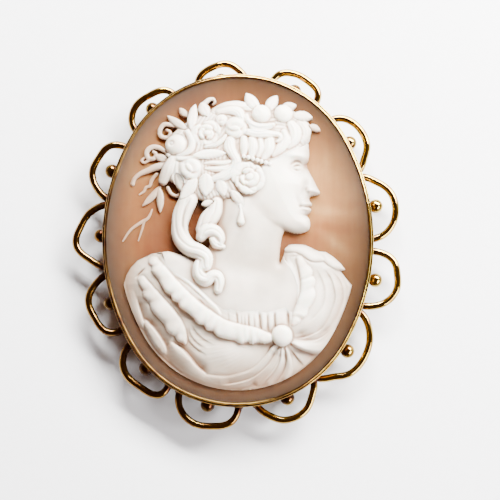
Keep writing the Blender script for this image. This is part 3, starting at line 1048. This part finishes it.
def orange_shell():
    """Polished conch shell: orange-tan, deeper where it is thick, greyish towards the rim."""
    material, tree, output = new_material("shell_orange_polished")
    place = add_node(tree, "ShaderNodeTexCoord")
    rim = add_node(tree, "ShaderNodeAttribute", {"attribute_name": "from_rim"})
    skin = add_node(tree, "ShaderNodeAttribute", {"attribute_name": "grey_skin"})
    shade = add_node(tree, "ShaderNodeAttribute", {"attribute_name": "warmth"})
    # Clouds about 8 mm wide, and growth streaks of about 1 by 11 mm that lie aslant
    cloud = add_node(tree, "ShaderNodeTexNoise", {
        "Scale": 120.0, "Detail": 4.0, "Roughness": 0.55}, {"Vector": (place, "Object")})
    stretched = add_node(tree, "ShaderNodeMapping", {
        "Rotation": (0, 0, math.radians(28)), "Scale": (900.0, 90.0, 200.0)}, {"Vector": (place, "Object")})
    streaks = add_node(tree, "ShaderNodeTexNoise", {"Scale": 1.0, "Detail": 3.0}, {"Vector": (stretched, 0)})
    wander = add_node(tree, "ShaderNodeMapRange", {1: 0.25, 2: 0.75, 3: -0.16, 4: 0.16}, {0: (cloud, 0)})
    grain = add_node(tree, "ShaderNodeMapRange", {1: 0.3, 2: 0.7, 3: -0.05, 4: 0.05}, {0: (streaks, 0)})
    clouded = add_node(tree, "ShaderNodeMath", {"operation": "ADD"}, {0: (shade, "Fac"), 1: (wander, 0)})
    grained = add_node(tree, "ShaderNodeMath", {"operation": "ADD"}, {0: (clouded, 0), 1: (grain, 0)})
    body = add_node(tree, "ShaderNodeValToRGB", None, {0: (grained, 0)})
    fill_ramp(body, [
        (0.0, "#a3794e"), (0.16, "#92673f"), (0.38, "#815431"), (0.65, "#6c4128"), (1.0, "#532c18")])
    band = add_node(tree, "ShaderNodeMapRange", {1: 0.0, 2: 4.2, 3: 0.94, 4: 0.0}, {0: (rim, "Fac")})
    edge = add_node(tree, "ShaderNodeMix", {
        "data_type": "RGBA", 6: (*linear("#1e130b"), 1), 7: (*linear("#4c4239"), 1)}, {0: (skin, "Fac")})
    tint = add_node(tree, "ShaderNodeMix", {"data_type": "RGBA"}, {0: (band, 0), 6: (body, 0), 7: (edge, 2)})
    ripple = add_node(tree, "ShaderNodeBump", {"Strength": 0.05, "Distance": 0.00004}, {"Height": (streaks, 0)})
    rough = add_node(tree, "ShaderNodeMapRange", {1: 0.3, 2: 0.7, 3: 0.07, 4: 0.12}, {0: (cloud, 0)})
    shader = add_node(tree, "ShaderNodeBsdfPrincipled", {
        "IOR": SHELL_IOR, "Subsurface Weight": 0.75,
        "Subsurface Radius": (1.0, 0.55, 0.32), "Subsurface Scale": 0.0034,
    }, {"Base Color": (tint, 2), "Roughness": (rough, 0), "Normal": (ripple, 0)})
    tree.links.new(shader.outputs[0], output.inputs[0])
    return material


def gold(name, polish=0.06, soil=0.6, tones=("#c9ad4e", "#97722f", "#57331a", "#240f08")):
    """Nine carat gold, drawn, bent and hand polished: bright on the crowns, red-brown soil in the corners."""
    material, tree, output = new_material(name)
    place = add_node(tree, "ShaderNodeTexCoord")
    corner = add_node(tree, "ShaderNodeAttribute", {"attribute_name": "soil"})
    # Spots of tarnish about 2 mm wide, and scuffs 0.4 mm, drawn coarser so that they show
    cloud = add_node(tree, "ShaderNodeTexNoise", {
        "Scale": 520.0, "Detail": 4.0, "Roughness": 0.6}, {"Vector": (place, "Object")})
    scuffs = add_node(tree, "ShaderNodeTexNoise", {
        "Scale": 2600.0, "Detail": 2.0}, {"Vector": (place, "Object")})
    spots = add_node(tree, "ShaderNodeMapRange", {1: 0.45, 2: 0.75, 3: 0.0, 4: 0.45}, {0: (cloud, 0)})
    dirt = add_node(tree, "ShaderNodeMath", {
        "operation": "MULTIPLY_ADD", 1: soil}, {0: (corner, "Fac"), 2: (spots, 0)})
    metal = add_node(tree, "ShaderNodeValToRGB", None, {0: (dirt, 0)})
    fill_ramp(metal, list(zip((0.0, 0.35, 0.7, 1.0), tones)))
    rough = add_node(tree, "ShaderNodeMapRange", {1: 0.0, 2: 1.0, 3: polish, 4: polish + 0.18}, {0: (dirt, 0)})
    bump = add_node(tree, "ShaderNodeBump", {"Strength": 0.12, "Distance": 0.00003}, {"Height": (scuffs, 0)})
    shader = add_node(tree, "ShaderNodeBsdfPrincipled", {"Metallic": 1.0},
                      {"Base Color": (metal, 0), "Roughness": (rough, 0), "Normal": (bump, 0)})
    tree.links.new(shader.outputs[0], output.inputs[0])
    return material


def paper(name, colour):
    """Smooth matt card under the brooch."""
    material, tree, output = new_material(name)
    place = add_node(tree, "ShaderNodeTexCoord")
    # Fibre marks about 1 mm wide, drawn coarser so that they show
    fibre = add_node(tree, "ShaderNodeTexNoise", {"Scale": 900.0, "Detail": 3.0}, {"Vector": (place, "Object")})
    tone = add_node(tree, "ShaderNodeValToRGB", None, {0: (fibre, 0)})
    fill_ramp(tone, [(0.0, "#f1f1f3"), (1.0, colour)])
    shader = add_node(tree, "ShaderNodeBsdfPrincipled", {"Roughness": 0.75}, {"Base Color": (tone, 0)})
    tree.links.new(shader.outputs[0], output.inputs[0])
    return material


WIRE_TONES = ("#c2a54a", "#86632e", "#58361f", "#331810")
FINISHES = {
    "gold": lambda: gold("gold_polished_worn"),
    "gold_wire": lambda: gold("gold_wire_tarnished", 0.08, 0.75, WIRE_TONES),
    "gold_back": lambda: gold("gold_back_dull", 0.26, 0.8),
    "orange": orange_shell,
    "white": white_shell,
}
made_materials = {}


def material_for(key):
    """Each finish is made once and shared."""
    if key not in made_materials:
        made_materials[key] = FINISHES[key]()
    return made_materials[key]


def tarnish(x, y):
    """From 0 at the upper right, which is rubbed bright, to 1 at the lower left."""
    return 0.5 - 0.5 * (0.9 * x + 0.4 * y) / np.maximum(np.hypot(x, y), 1.0)


# ---- border loops

# Counterclockwise from the right: foot angles, reach share, four bends of the half oval, and
# the ball's distance outside the rim as a share of its width
LOOPS = [
    (0.8, 28, 1.04, 1.06, 1.1, 1.07, 0.95, 0.48), (30.4, 53, 0.9, 0.87, 0.95, 0.99, 1.02, 0.19),
    (61, 78.3, 0.84, 1.09, 0.95, 0.97, 1.06, 0.0), (87.4, 104.6, 0.75, 0.96, 1.01, 0.93, 0.97, -0.1),
    (113, 132.4, 0.8, 1.05, 0.98, 1.06, 1.06, 0.17), (139.4, 162, 1.05, 1.09, 0.96, 0.98, 0.96, 0.32),
    (164, 191.5, 1.17, 0.95, 0.93, 1.06, 0.94, 0.19), (194.5, 218, 0.95, 0.99, 1.08, 1.04, 1.14, 0.12),
    (224.3, 244.7, 0.79, 1.1, 1.21, 1.13, 1.22, 0.04), (249, 270.3, 1.04, 1.03, 1.02, 0.97, 1.07, 0.02),
    (276.5, 298.2, 0.98, 0.95, 1.02, 1.01, 0.92, 0.02), (299.7, 329.5, 0.99, 0.92, 1.1, 1.09, 1.01, 0.33),
    (332.1, 355.8, 1.29, 1.01, 0.97, 0.94, 1.07, 0.45),
]
LOOP_REACH = 4.14
BALL_D = 2.1
# How far inside the rim's outside the wires end, and the most that a ball or its solder reaches in
FOOT_IN, BALL_IN = 0.30, 0.40
# Halves of a lump of solder: into the collet, along it and up, and how far inside it lies
FOOT_SOLDER, FOOT_SOLDER_IN = (0.42, 0.72, 0.66), 0.18
BALL_SOLDER, BALL_SOLDER_IN = (0.34, 0.62, 0.6), 0.12


def loop_path(row, steps):
    """The bent wire of one loop, from foot to foot."""
    first, last, reach, *bends, _ = row
    start, stop = (oval_point(math.radians(foot), FOOT_IN) for foot in (first, last))
    middle, half = (start + stop) / 2, (stop - start) / 2
    out = Vector((half.y, -half.x)).normalized()
    bends = smooth_rows([[bend] for bend in (1, *bends, 1)], 12)[:, 0]
    path = []
    for i in range(steps + 1):
        t = i / steps
        bend = float(np.interp(t * (len(bends) - 1), np.arange(len(bends)), bends))
        angle = math.pi * t
        flat = middle - half * math.cos(angle) * bend + out * math.sin(angle) * bend * reach * LOOP_REACH
        path.append(Vector((flat.x, flat.y, BORDER_Z)))
    return path


class BroochSizes(bpy.types.PropertyGroup):
    """Widths of the parts made of wire, of the balls and of the rim"""
    wire_width: bpy.props.FloatProperty(
        name="Wire", description="Thickness of the bent wire of the border",
        default=0.00116, min=0.0009, max=0.00116, unit="LENGTH", precision=5)
    ball_width: bpy.props.FloatProperty(
        name="Ball", description="Diameter of a ball in a loop",
        default=0.00222, min=0.0018, max=0.00225, unit="LENGTH", precision=5)
    rim_width: bpy.props.FloatProperty(
        name="Rim", description="Width of the rim turned in over the shell",
        default=0.00064, min=0.0006, max=0.00075, unit="LENGTH", precision=5)
    pin_width: bpy.props.FloatProperty(
        name="Pin stem", description="Thickness of the pin stem",
        default=0.00088, min=0.0006, max=0.0009, unit="LENGTH", precision=5)


class BroochStudio(bpy.types.PropertyGroup):
    """Colour of the card, and where the camera is"""
    floor_colour: bpy.props.StringProperty(
        name="Floor", description="Colour of the card under the brooch, as hex", default="#f8f8f9")
    camera_height: bpy.props.FloatProperty(
        name="Camera height", description="Angle of the camera above the table",
        default=math.radians(82), subtype="ANGLE")
    camera_far: bpy.props.FloatProperty(
        name="Camera distance", description="Distance from the camera to the rim", default=0.30, unit="LENGTH")
    view_width: bpy.props.FloatProperty(
        name="View", description="Width of the picture at the rim", default=0.077, unit="LENGTH")


class BROOCH_OT_setting(bpy.types.Operator):
    """Collet with its ledge and turned-in rim"""
    bl_idname = "brooch.setting"
    bl_label = "Gold bezel"

    def execute(self, context):
        rim = context.scene.brooch_sizes.rim_width / MM
        low, top = BACK_Z, RIM_Z
        # Inside of the band, of the ledge, and the middle of the groove round the rim
        band_in, ledge_in, groove_in = 0.45, 1.90, 0.245
        # From the foot up the outside, over the rim and down the inside: inset, level
        profile = [
            (0.24, low), (0.20, low + 0.05), (0.20, top - 0.98), (0.18, top - 0.92), (0.06, top - 0.88),
            (0.0, top - 0.82), (0.0, top - 0.46), (0.02, top - 0.37), (0.08, top - 0.31), (0.16, top - 0.29),
            (0.22, top - 0.31), (groove_in, top - 0.33), (0.27, top - 0.30), (0.29, top - 0.18),
            (0.33, top - 0.07), (0.40, top - 0.015), (0.48, top), (rim - 0.14, top - 0.03),
            (rim - 0.06, top - 0.10), (rim - 0.01, top - 0.20), (rim, top - 0.27), (rim - 0.03, top - 0.295),
            (0.47, top - 0.30), (band_in, top - 0.32), (band_in, low + 0.66), (0.49, low + 0.60),
            (ledge_in - 0.04, low + 0.60), (ledge_in, low + 0.56), (ledge_in, low + 0.04),
            (ledge_in - 0.04, low),
        ]
        bm = bmesh.new()
        ring = first = oval_ring(bm, 240, *profile[0])
        for place in profile[1:]:
            ring = next_ring(bm, ring, *place)
        bmesh.ops.bridge_loops(bm, edges=ring_edges(first) + ring_edges(ring))
        for vert in bm.verts:
            # Rubbed over by hand: the inner edge wanders a little
            if vert.co.z > top - 0.26:
                angle = math.atan2(vert.co.y, vert.co.x)
                waves = ((0.012, 9, 1), (0.010, 23, 2), (0.006, 41, 0))
                wander = sum(size * math.sin(times * angle + start) for size, times, start in waves)
                grow = 1 + wander / math.hypot(vert.co.x, vert.co.y)
                vert.co.x *= grow
                vert.co.y *= grow
        piece = finish_mesh("bezel", bm, material_for("gold"), sharp=48)
        x, y, z = point_places(piece)
        inset = -oval_distance(x, y)
        groove = np.exp(-((inset - groove_in) / 0.05) ** 2) * (z > top - 0.4)
        seam = ((inset > 0.55) & (z < top - 0.2)) * 0.8
        wall = np.clip((top - 0.85 - z) / 1.5, 0, 0.5)
        add_attribute(piece.data, "soil", unit(groove + seam + wall + 0.80 * tarnish(x, y)))
        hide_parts("setting")
        return {"FINISHED"}


class BROOCH_OT_loops(bpy.types.Operator):
    """Border of bent wire loops and small balls, soldered to the collet"""
    bl_idname = "brooch.loops"
    bl_label = "Wire loops and balls"

    def execute(self, context):
        sizes = context.scene.brooch_sizes
        radius = sizes.wire_width / MM / 2
        ball_r = sizes.ball_width / MM / 2
        steps = 56
        bm = bmesh.new()
        for n, row in enumerate(LOOPS):
            sections = []
            for i in range(steps + 1):
                # The wire is a little flattened where it was bent over the pliers
                angle = math.pi * i / steps
                flat = 0.03 * math.sin(5.1 * angle + n) + 0.02 * math.sin(11 * angle + 2 * n)
                sections.append((radius * (0.975 + 0.5 * flat), radius * (0.975 - 0.5 * flat)))
            sweep(bm, loop_path(row, steps), sections)
            for foot in row[:2]:
                angle = math.radians(foot)
                solder(bm, oval_point(angle, FOOT_SOLDER_IN), angle, FOOT_SOLDER)
        wires = finish_mesh("border_loops", bm, material_for("gold_wire"), sharp=60)

        bm = bmesh.new()
        for n, row in enumerate(LOOPS):
            angle = math.radians((row[0] + row[1]) / 2)
            place = oval_point(angle, -row[-1] * BALL_D)
            ball = bmesh.ops.create_uvsphere(bm, u_segments=40, v_segments=24, radius=ball_r)["verts"]
            for vert in ball:
                x, y, _ = vert.co / ball_r
                vert.co *= 1 - 0.012 * (1 + math.sin(3 * x + n) * math.cos(2 * y - n))
            bmesh.ops.translate(bm, verts=ball, vec=(place.x, place.y, BORDER_Z))
            solder(bm, oval_point(angle, BALL_SOLDER_IN), angle, BALL_SOLDER)
        # Nothing of a ball or its solder reaches inside the collet
        for vert in bm.verts:
            if oval_distance(vert.co.x, vert.co.y) < -BALL_IN:
                place_ring([vert], BALL_IN, vert.co.z)
        balls = finish_mesh("border_balls", bm, material_for("gold_wire"))
        for piece in (wires, balls):
            # Soil gathers near the collet and under the wire
            x, y, z = point_places(piece)
            near = unit(1 - oval_distance(x, y) / 0.9)
            under = unit((BORDER_Z + 0.1 - z) / 0.6)
            add_attribute(piece.data, "soil", unit(0.9 * near + 0.5 * under + 0.45 * tarnish(x, y)))
            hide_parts("setting")
        return {"FINISHED"}


# The dark band of the ground: at some turns, how narrow it is and how grey
BAND_TURNS = [-180, -150, -120, -90, -60, -30, 0, 20, 60, 90, 120, 150, 180]
BAND_NARROW = [0.95, 0.6, 0.65, 0.75, 0.6, 0.38, 0.48, 0.7, 0.6, 0.62, 1, 1.15, 0.95]
BAND_GREY = [0.75, 0.5, 0.6, 0.45, 0.3, 0.12, 0.15, 0.4, 0.12, 0.12, 0.65, 0.8, 0.75]

# Warm and pale places of the ground: amount, x, y, half widths, turn
WARM_PLACES = [
    (0.34, -10.5, 0.5, 6.0, 6.5), (0.3, 8.5, -1.0, 4.5, 3.0), (-0.16, 16, 4, 6, 9),
    (0.2, -2, 22, 12, 3.5), (0.5, -6.3, 3.5, 1.6, 3.5),
    # Growth bands of the shell, seen as pale streaks at the right
    (-0.22, 15.3, 3.9, 4.2, 0.9, -4), (-0.24, 14.9, -0.8, 2.8, 0.8, -37),
    (0.16, 14.2, 1.5, 3.4, 0.7, -8), (-0.12, 14.5, 11.0, 3.0, 4.5, 20),
]


class BROOCH_OT_ground(bpy.types.Operator):
    """Polished orange layer of the shell, domed in front and hollow behind"""
    bl_idname = "brooch.ground"
    bl_label = "Shell ground"

    def execute(self, context):
        rings, back_rings = 64, 24
        rise = DOME_TOP - EDGE_Z
        foot = shell_low.z
        # The hollow behind: its reach and depth. Front and back end in a ring round the middle
        hollow, deep, least = 0.86, 2.0, 0.004
        bm = bmesh.new()
        ring = oval_ring(bm, 192, SHELL_IN, DOME_TOP)
        place_ring(ring, SHELL_IN, DOME_TOP, least)
        bmesh.ops.edgeloop_fill(bm, edges=ring_edges(ring))
        for k in range(1, rings + 1):
            share = k / rings
            ring = next_ring(bm, ring, SHELL_IN, EDGE_Z + rise * (1 - share ** 2), share)
        for inset, level in ((0.02, EDGE_Z - 0.08), (0.02, foot + 0.1), (0.10, foot)):
            ring = next_ring(bm, ring, SHELL_IN + inset, level)
        for k in range(back_rings + 1):
            share = hollow * (1 - k / back_rings) + least
            level = max(foot + deep * (1 - (share / hollow) ** 2), foot)
            ring = next_ring(bm, ring, SHELL_IN, level, share)
        bmesh.ops.edgeloop_fill(bm, edges=ring_edges(ring))
        piece = finish_mesh("shell_ground_polished", bm, material_for("orange"), sharp=55)
        x, y, z = point_places(piece)
        # The dark band is widest at the lower right; at the left the blank runs into the grey skin of the shell
        turn = np.degrees(np.arctan2(y, x))
        narrow = np.interp(turn, BAND_TURNS, BAND_NARROW)
        grey = np.interp(turn, BAND_TURNS, BAND_GREY)
        add_attribute(piece.data, "from_rim", np.clip(-oval_distance(x, y, 0.7) * narrow, 0, 9))
        add_attribute(piece.data, "grey_skin", grey)
        warm = np.full(x.shape, 0.36)
        add_bells(warm, x, y, WARM_PLACES)
        add_attribute(piece.data, "warmth", np.where(z < EDGE_Z - 0.5, 0.75, warm))
        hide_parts("shell_ground")
        return {"FINISHED"}


class BROOCH_OT_bust(bpy.types.Operator):
    """Bust carved from the white layer: skin, drapery, hair and flowers"""
    bl_idname = "brooch.bust"
    bl_label = "Carved bust"

    def execute(self, context):
        # How far corners are rounded, each group lies over the last, and runs in under the next
        polish, over, under = 0.075, 0.05, 0.20
        skin, dress, hair, wreath = carve_skin(), carve_dress(), carve_hair(), carve_flowers()
        for group in (skin, dress, hair, wreath):
            group.polish(polish)
        under_out, under_high = skin.out, skin.high
        for group in (dress, hair, wreath):
            # No form starts below what it lies on
            lift = np.maximum(under_high + over - group.high, 0)
            lift *= unit(1 + group.out / 0.7) * unit(-under_out / 1.4 - 0.3)
            group.high = np.where(group.high > -1, group.high + lift, group.high)
            under_high = np.where(group.out < 0, group.high, under_high)
            under_out = np.minimum(under_out, group.out)
        whole = np.zeros(GX.shape)
        above = np.full(GX.shape, FAR)
        groups = []
        for name, group in (
                ("bust_flowers", wreath), ("bust_hair", hair), ("bust_drapery", dress), ("bust_skin", skin)):
            # Each group runs a little way under those that lie over it, so that no gap opens
            high = np.where(above < 0, np.minimum(group.high, whole - 0.08), group.high)
            groups.append((name, np.maximum(group.out, -above - under), high))
            whole = np.where((group.out < 0) & (above >= 0), np.maximum(group.high, LEAST), whole)
            above = np.minimum(above, group.out)
        # Lines and corners cut below what is round them
        hollow = unit(blurred(whole, 0.28) - whole) + 0.45 * unit(blurred(whole, 0.9) - whole)
        # The white layer of the shell is thinner at the neck and towards the lower edge
        thin = blurred(whole, 0.10) / 2.0
        add_bells(thin, GX, GY, THIN_PLACES)
        thin = unit(thin + 0.16 * unit(1 + dress.out / 2.4) * (dress.out < 0))
        for name, out, high in groups:
            # Cloth has softer corners than hair and flowers
            corners = hollow * (0.75 if name == "bust_drapery" else 1.0)
            relief_piece(name, out, high, thin, corners, material_for("white"))
        return {"FINISHED"}


class BROOCH_OT_pin(bpy.types.Operator):
    """Hinge block, pin stem and C catch behind the collet, as one plain piece"""
    bl_idname = "brooch.pin"
    bl_label = "Pin"

    def execute(self, context):
        # Lengths of the hinge block and the catch, the stem's tip past it, and the catch's thickness
        hinge, catch, tip, thick = 3.0, 1.6, 1.3, 0.285
        stem_z = 0.72
        low, high = (corner - Vector((CENTRE.x, CENTRE.y, 0)) for corner in (pin_low, pin_high))
        middle_y, wide = (low.y + high.y) / 2, high.y - low.y
        catch_x = high.x - tip - catch / 2
        stand = high.z
        stem_r = context.scene.brooch_sizes.pin_width / MM / 2
        bm = bmesh.new()
        # Hinge block
        worn_block(bm, (low.x + hinge / 2, middle_y, stand / 2 + 0.002), (hinge, wide, stand - 0.004), 0.32, 4)
        # Stem, drawn out to a rounded point
        start, stop = low.x + 2.4, high.x - 0.02
        places = [start, start + 1.5, stop - 4.0, stop - 1.6, stop - 0.8, stop - 0.3, stop - 0.05]
        rows = smooth_rows(list(zip(places, [1.0, 1.0, 0.98, 0.80, 0.62, 0.42, 0.14])), 3)
        path = [Vector((x, middle_y, stem_z)) for x, _ in rows]
        sweep(bm, path, [(stem_r * min(share, 1.0),) * 2 for _, share in rows], sides=20)
        # Catch: a strip bent into a C, open towards +Y, and the foot that it stands on
        reach = stand / 2
        strip = bmesh.ops.create_grid(bm, x_segments=1, y_segments=1, size=0.5)["verts"]
        move = (Matrix.Translation((catch_x, middle_y, reach)) @ Matrix.Rotation(math.radians(32), 4, "X")
                @ Matrix.Translation((0, reach - 0.148, 0)) @ Matrix.Diagonal((catch, thick, 1, 1)))
        bmesh.ops.transform(bm, matrix=move, verts=strip)
        parts = strip + list({edge for vert in strip for edge in vert.link_edges})
        parts += list({face for vert in strip for face in vert.link_faces})
        bmesh.ops.spin(
            bm, geom=parts, cent=(0, middle_y, reach), axis=(1, 0, 0), angle=math.radians(296), steps=20)
        worn_block(bm, (catch_x, middle_y, stand - 0.15), (catch, wide, 0.28), 0.08, 3)
        piece = finish_mesh("pin_and_catch", bm, material_for("gold_back"), sharp=40)
        _, _, z = point_places(piece)
        add_attribute(piece.data, "soil", unit((z - stand + 0.5) / 0.5) * 0.8)
        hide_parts("brooch_pin")
        return {"FINISHED"}


# ---- studio

# The picture's middle, from the oval's centre
AIM_X, AIM_Y = 1.86, -1.84
# Name, place, width, height, power, colour: both are lower than the polished dome can mirror
LAMPS = [
    ("window", (0.104, 0.195, 0.172), 0.36, 0.075, 9.8, (1.0, 0.995, 0.985)),
    ("room", (0.30, -0.17, 0.22), 0.30, 0.12, 3.2, (0.98, 0.98, 1.0)),
]


def add_aimed(context, name, data, place, aim):
    """Puts a lamp or a camera at its place, turned towards the aim."""
    holder = bpy.data.objects.new(name, data)
    holder.location = place
    holder.rotation_euler = (aim - holder.location).to_track_quat("-Z", "Y").to_euler()
    context.scene.collection.objects.link(holder)
    return holder


class BROOCH_OT_studio(bpy.types.Operator):
    """Pale floor, soft light and the camera"""
    bl_idname = "brooch.studio"
    bl_label = "Floor, light and camera"

    def execute(self, context):
        studio = context.scene.brooch_studio
        bm = bmesh.new()
        bmesh.ops.create_grid(bm, x_segments=2, y_segments=2, size=1.6)
        mesh = new_mesh("card", bm, smooth=False)
        mesh.materials.append(paper("card_matt_white", studio.floor_colour))
        card = bpy.data.objects.new("card", mesh)
        context.scene.collection.objects.link(card)

        world = bpy.data.worlds.new("studio")
        world.use_nodes = True
        tree = world.node_tree
        tree.nodes.clear()
        place = add_node(tree, "ShaderNodeTexCoord")
        parts = add_node(tree, "ShaderNodeSeparateXYZ", None, {0: (place, "Generated")})
        # Pale near the horizon on the window's side, dark overhead so that the gold has depth
        side = add_node(tree, "ShaderNodeMath", {
            "operation": "MULTIPLY_ADD", 1: 0.30, 2: 0.45}, {0: (parts, "Y")})
        both = add_node(tree, "ShaderNodeMath", {
            "operation": "MULTIPLY_ADD", 1: 0.25}, {0: (parts, "X"), 2: (side, 0)})
        low = add_node(tree, "ShaderNodeMapRange", {1: 0.05, 2: 0.60, 3: 1.0, 4: 0.03}, {0: (parts, "Z")})
        level = add_node(tree, "ShaderNodeMath", {"operation": "MULTIPLY"}, {0: (both, 0), 1: (low, 0)})
        tone = add_node(tree, "ShaderNodeValToRGB", None, {0: (level, 0)})
        fill_ramp(tone, [(0.0, "#553a2d"), (0.25, "#7a6557"), (0.6, "#a8a5a2"), (1.0, "#f4f5f8")])
        back = add_node(tree, "ShaderNodeBackground", {"Strength": 1.0}, {"Color": (tone, 0)})
        add_node(tree, "ShaderNodeOutputWorld", None, {"Surface": (back, 0)})
        context.scene.world = world

        for name, at, wide, tall, power, colour in LAMPS:
            lamp = bpy.data.lights.new(name, "AREA")
            lamp.shape, lamp.size, lamp.size_y, lamp.energy, lamp.color = "RECTANGLE", wide, tall, power, colour
            add_aimed(context, name, lamp, at, Vector((0, 0, 0)))

        camera = bpy.data.cameras.new("camera")
        camera.sensor_width = 36.0
        far, height = studio.camera_far, studio.camera_height
        camera.lens = camera.sensor_width * far / studio.view_width
        camera.clip_start = 0.02
        aim = Vector((CENTRE.x + AIM_X, CENTRE.y + AIM_Y, RIM_Z)) * MM
        place = aim + far * Vector((0, -math.cos(height), math.sin(height)))
        context.scene.camera = add_aimed(context, "camera", camera, place, aim)
        return {"FINISHED"}


class BROOCH_PT_panel(bpy.types.Panel):
    """Sizes of the brooch and its making, piece by piece"""
    bl_idname = "BROOCH_PT_panel"
    bl_label = "Cameo brooch"
    bl_space_type = "VIEW_3D"
    bl_region_type = "UI"
    bl_category = "Cameo brooch"

    def draw(self, context):
        for group in (context.scene.brooch_sizes, context.scene.brooch_studio):
            for key in group.__annotations__:
                self.layout.prop(group, key)
        for operator in OPERATORS:
            self.layout.operator(operator.bl_idname)


OPERATORS = (
    BROOCH_OT_studio, BROOCH_OT_setting, BROOCH_OT_loops, BROOCH_OT_ground, BROOCH_OT_bust, BROOCH_OT_pin)
CLASSES = (BroochSizes, BroochStudio, *OPERATORS, BROOCH_PT_panel)


def register():
    for cls in CLASSES:
        bpy.utils.register_class(cls)
    bpy.types.Scene.brooch_sizes = bpy.props.PointerProperty(type=BroochSizes)
    bpy.types.Scene.brooch_studio = bpy.props.PointerProperty(type=BroochStudio)


def unregister():
    del bpy.types.Scene.brooch_studio
    del bpy.types.Scene.brooch_sizes
    for cls in reversed(CLASSES):
        bpy.utils.unregister_class(cls)


def main():
    register()
    bpy.ops.brooch.studio()
    bpy.ops.brooch.setting()
    bpy.ops.brooch.loops()
    bpy.ops.brooch.ground()
    bpy.ops.brooch.bust()
    bpy.ops.brooch.pin()


if __name__ == "__main__":
    main()
